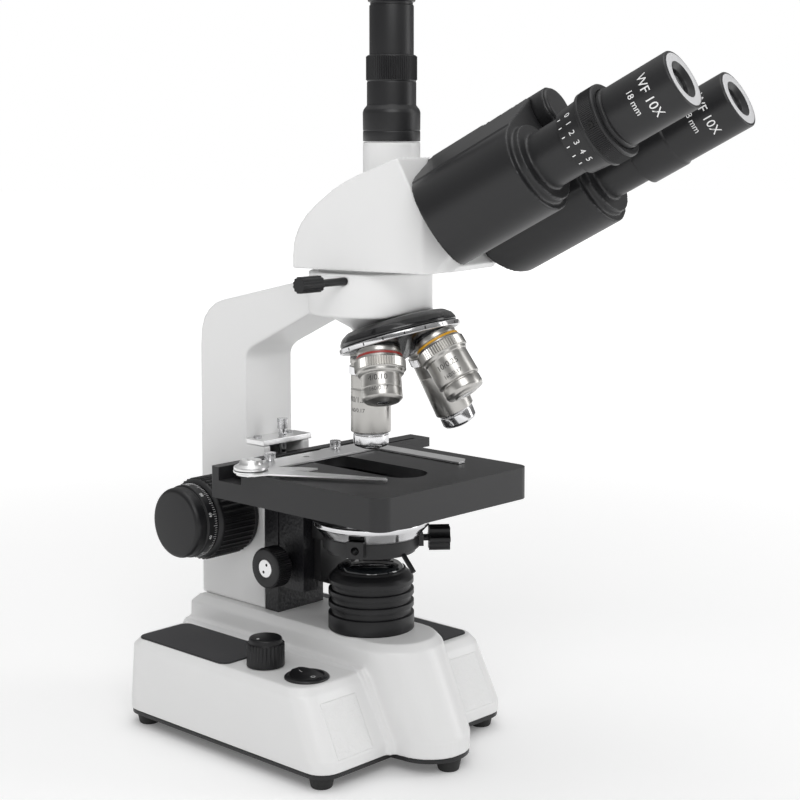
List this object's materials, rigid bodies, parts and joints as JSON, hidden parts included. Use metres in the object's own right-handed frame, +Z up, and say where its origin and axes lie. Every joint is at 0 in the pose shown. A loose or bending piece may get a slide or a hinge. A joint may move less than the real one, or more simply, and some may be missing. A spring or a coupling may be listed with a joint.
{
  "type": "trinocular microscope",
  "caption": "Upright laboratory microscope with a turret of objectives, a moving stage, a condenser, a lit base, two inclined eyepieces and an upright photo port.",
  "frame": {"origin": "centre of the front foot's sole, on the table", "axes": "+Z up; -Y towards the user; +X the user's right"},
  "size_m": [0.165, 0.3237, 0.4],
  "materials": {
    "white_enamel": "satin",
    "black_enamel": "satin",
    "wrinkle_black": "matte",
    "stage_black": "matte",
    "black_plastic": "satin",
    "gloss_black": "gloss",
    "grey_rubber": "matte",
    "foot_rubber": "matte",
    "chrome": "polished",
    "silver": "satin",
    "steel": "brushed",
    "nickel": "satin",
    "glass": "polished",
    "circuit_green": "matte"
  },
  "bodies": {
    "root": {"base_casting": "white_enamel", "base_plate": "black_enamel", "rubber_feet": "foot_rubber", "case_screws": "steel", "hand_pads": "grey_rubber", "led_module": "circuit_green", "lamp_collar": "black_plastic", "field_lens": "glass", "power_board": "circuit_green", "switch_bezel": "gloss_black", "power_inlet": "black_plastic", "arm_casting": "white_enamel", "stop_shelf": "silver", "focus_block": "wrinkle_black", "nosepiece_base": "black_enamel"},
    "brightness": {"brightness_knob": "black_plastic"},
    "rocker": {"switch_rocker": "gloss_black"},
    "stop": {"stop_screw": "chrome"},
    "coarse": {"coarse_shaft": "steel", "coarse_knob_left": "black_plastic", "coarse_knob_right": "black_plastic"},
    "fine": {"fine_shaft": "steel", "fine_knob_left": "black_plastic", "fine_knob_right": "black_plastic"},
    "coarse_slide": {"focus_slide": "steel"},
    "stage": {"stage_bracket": "wrinkle_black", "stage_lower_plate": "stage_black"},
    "stage_top": {"stage_plate": "stage_black"},
    "x_carriage": {"x_rail": "black_enamel", "slide_holder": "silver", "holder_screws": "chrome"},
    "clip": {"finger_clip": "silver"},
    "y_knob": {"stage_y_knob": "black_plastic"},
    "x_knob": {"stage_x_knob": "black_plastic"},
    "condenser_drive": {"condenser_knob": "black_plastic"},
    "condenser": {"condenser_holder": "black_enamel", "condenser_body": "nickel", "condenser_lens": "glass"},
    "iris": {"iris_ring": "black_enamel"},
    "clamp": {"condenser_clamp": "black_plastic"},
    "turret": {"turret": "chrome", "objective_4x": "nickel", "objective_10x": "nickel", "objective_40x": "nickel", "objective_100x": "nickel"},
    "tip_40x": {"sprung_tip_40x": "chrome"},
    "tip_100x": {"sprung_tip_100x": "chrome"},
    "head": {"head_casting": "white_enamel", "head_prism": "glass", "hinge_shaft": "steel"},
    "head_lock": {"head_lock_screw": "black_plastic"},
    "tube_left": {"tube_housing_left": "black_enamel"},
    "tube_right": {"tube_housing_right": "black_enamel", "eyepiece_right": "black_enamel", "eye_lens_right": "glass"},
    "diopter": {"diopter_ring": "black_enamel"},
    "eye_left": {"eyepiece_left": "black_enamel", "eye_lens_left": "glass"},
    "photo_ring": {"photo_focus_ring": "black_enamel"},
    "photo_draw": {"photo_tube": "black_enamel"}
  },
  "joints": [
    {"name": "brightness_turn", "type": "hinge", "parent": "root", "child": "brightness", "pos_m": [-0.0525, 0.083, 0.0495], "axis": [0, 0, 1], "range_deg": [0, 280]},
    {"name": "switch_rock", "type": "hinge", "parent": "root", "child": "rocker", "pos_m": [-0.0515, 0.0525, 0.0475], "axis": [1, 0, 0], "range_deg": [-16, 0]},
    {"name": "stop_turn", "type": "hinge", "parent": "root", "child": "stop", "pos_m": [0.001, 0.1267, 0.16], "axis": [0, 0, 1], "range_deg": [-90, 360]},
    {"name": "coarse_turn", "type": "hinge", "parent": "root", "child": "coarse", "pos_m": [0, 0.1477, 0.1167], "axis": [1, 0, 0], "range_deg": [-28.8, 84.2]},
    {"name": "fine_turn", "type": "hinge", "parent": "root", "child": "fine", "pos_m": [0, 0.1477, 0.1167], "axis": [1, 0, 0], "range_deg": [-901, 901]},
    {"name": "coarse_lift", "type": "slide", "parent": "root", "child": "coarse_slide", "axis": [0, 0, 1], "range_m": [-0.003, 0.0088]},
    {"name": "fine_lift", "type": "slide", "parent": "coarse_slide", "child": "stage", "axis": [0, 0, 1], "range_m": [-0.0005, 0.0005]},
    {"name": "stage_y", "type": "slide", "parent": "stage", "child": "stage_top", "axis": [0, 1, 0], "range_m": [-0.026, 0]},
    {"name": "stage_x", "type": "slide", "parent": "stage_top", "child": "x_carriage", "axis": [1, 0, 0], "range_m": [-0.03, 0.03]},
    {"name": "clip_swing", "type": "hinge", "parent": "x_carriage", "child": "clip", "pos_m": [-0.0575, 0.0877, 0.1537], "axis": [0, 0, 1], "range_deg": [-35, 0], "stiffness_Nm_per_rad": 0.06, "springref_deg": 2.86},
    {"name": "y_knob_turn", "type": "hinge", "parent": "stage_top", "child": "y_knob", "pos_m": [0.0465, 0.096, 0.12], "axis": [0, 0, 1], "range_deg": [-249, 1]},
    {"name": "x_knob_turn", "type": "hinge", "parent": "stage_top", "child": "x_knob", "pos_m": [0.0465, 0.096, 0.105], "axis": [0, 0, 1], "range_deg": [-287, 287]},
    {"name": "condenser_turn", "type": "hinge", "parent": "stage", "child": "condenser_drive", "pos_m": [0, 0.1045, 0.094], "axis": [1, 0, 0], "range_deg": [-34.3, 123]},
    {"name": "condenser_lift", "type": "slide", "parent": "stage", "child": "condenser", "axis": [0, 0, 1], "range_m": [-0.0025, 0.009]},
    {"name": "iris_turn", "type": "hinge", "parent": "condenser", "child": "iris", "pos_m": [0, 0.056, 0.1083], "axis": [0, 0, 1], "range_deg": [-35, 35]},
    {"name": "clamp_turn", "type": "hinge", "parent": "condenser", "child": "clamp", "pos_m": [0.02194, 0.03554, 0.1132], "axis": [0.7314, -0.682, 0], "range_deg": [-10, 180]},
    {"name": "turret_turn", "type": "hinge", "parent": "root", "child": "turret", "pos_m": [0, 0.056, 0.28], "axis": [0.0483, -0.3052, -0.9511], "continuous": true},
    {"name": "tip_40x_in", "type": "slide", "parent": "turret", "child": "tip_40x", "axis": [-0.3512, 0.2419, 0.9045], "range_m": [0, 0.0015], "stiffness_N_per_m": 500, "springref_m": -0.0008},
    {"name": "tip_100x_in", "type": "slide", "parent": "turret", "child": "tip_100x", "axis": [0, 0, 1], "range_m": [0, 0.0015], "stiffness_N_per_m": 500, "springref_m": -0.0008},
    {"name": "head_turn", "type": "hinge", "parent": "root", "child": "head", "pos_m": [0, 0.056, 0.258], "axis": [0, 0, 1], "continuous": true},
    {"name": "head_lock_turn", "type": "hinge", "parent": "root", "child": "head_lock", "pos_m": [-0.0313, 0.0455, 0.2544], "axis": [-1, 0, 0], "range_deg": [-10, 180]},
    {"name": "eye_span_left", "type": "hinge", "parent": "head", "child": "tube_left", "pos_m": [0.02567, -0.04477, 0.34161], "axis": [0.1769, -0.8617, 0.4756], "range_deg": [-16, 7.5]},
    {"name": "eye_span_right", "type": "hinge", "parent": "head", "child": "tube_right", "pos_m": [0.02567, -0.04477, 0.34161], "axis": [0.1769, -0.8617, 0.4756], "range_deg": [-7.5, 16]},
    {"name": "diopter_turn", "type": "hinge", "parent": "tube_left", "child": "diopter", "pos_m": [0.00089, -0.09588, 0.33392], "axis": [0.1769, -0.8617, 0.4756], "range_deg": [-90.5, 90.5]},
    {"name": "diopter_slide", "type": "slide", "parent": "tube_left", "child": "eye_left", "axis": [0.1769, -0.8617, 0.4756], "range_m": [-0.002, 0.002]},
    {"name": "photo_turn", "type": "hinge", "parent": "head", "child": "photo_ring", "pos_m": [0.00263, 0.04317, 0.365], "axis": [0, 0, 1], "range_deg": [0, 302]},
    {"name": "photo_lift", "type": "slide", "parent": "head", "child": "photo_draw", "axis": [0, 0, 1], "range_m": [0, 0.005]}
  ],
  "couplings": [
    {"joint": "coarse_turn", "follows": "coarse_lift", "rad_per_m": 166.67},
    {"joint": "fine_turn", "follows": "fine_lift", "rad_per_m": 31447},
    {"joint": "y_knob_turn", "follows": "stage_y", "rad_per_m": 166.67},
    {"joint": "x_knob_turn", "follows": "stage_x", "rad_per_m": 166.67},
    {"joint": "condenser_turn", "follows": "condenser_lift", "rad_per_m": 238.1},
    {"joint": "eye_span_right", "follows": "eye_span_left", "ratio": -1},
    {"joint": "diopter_turn", "follows": "diopter_slide", "rad_per_m": 787.4},
    {"joint": "photo_turn", "follows": "photo_lift", "rad_per_m": 1052.6}
  ]
}
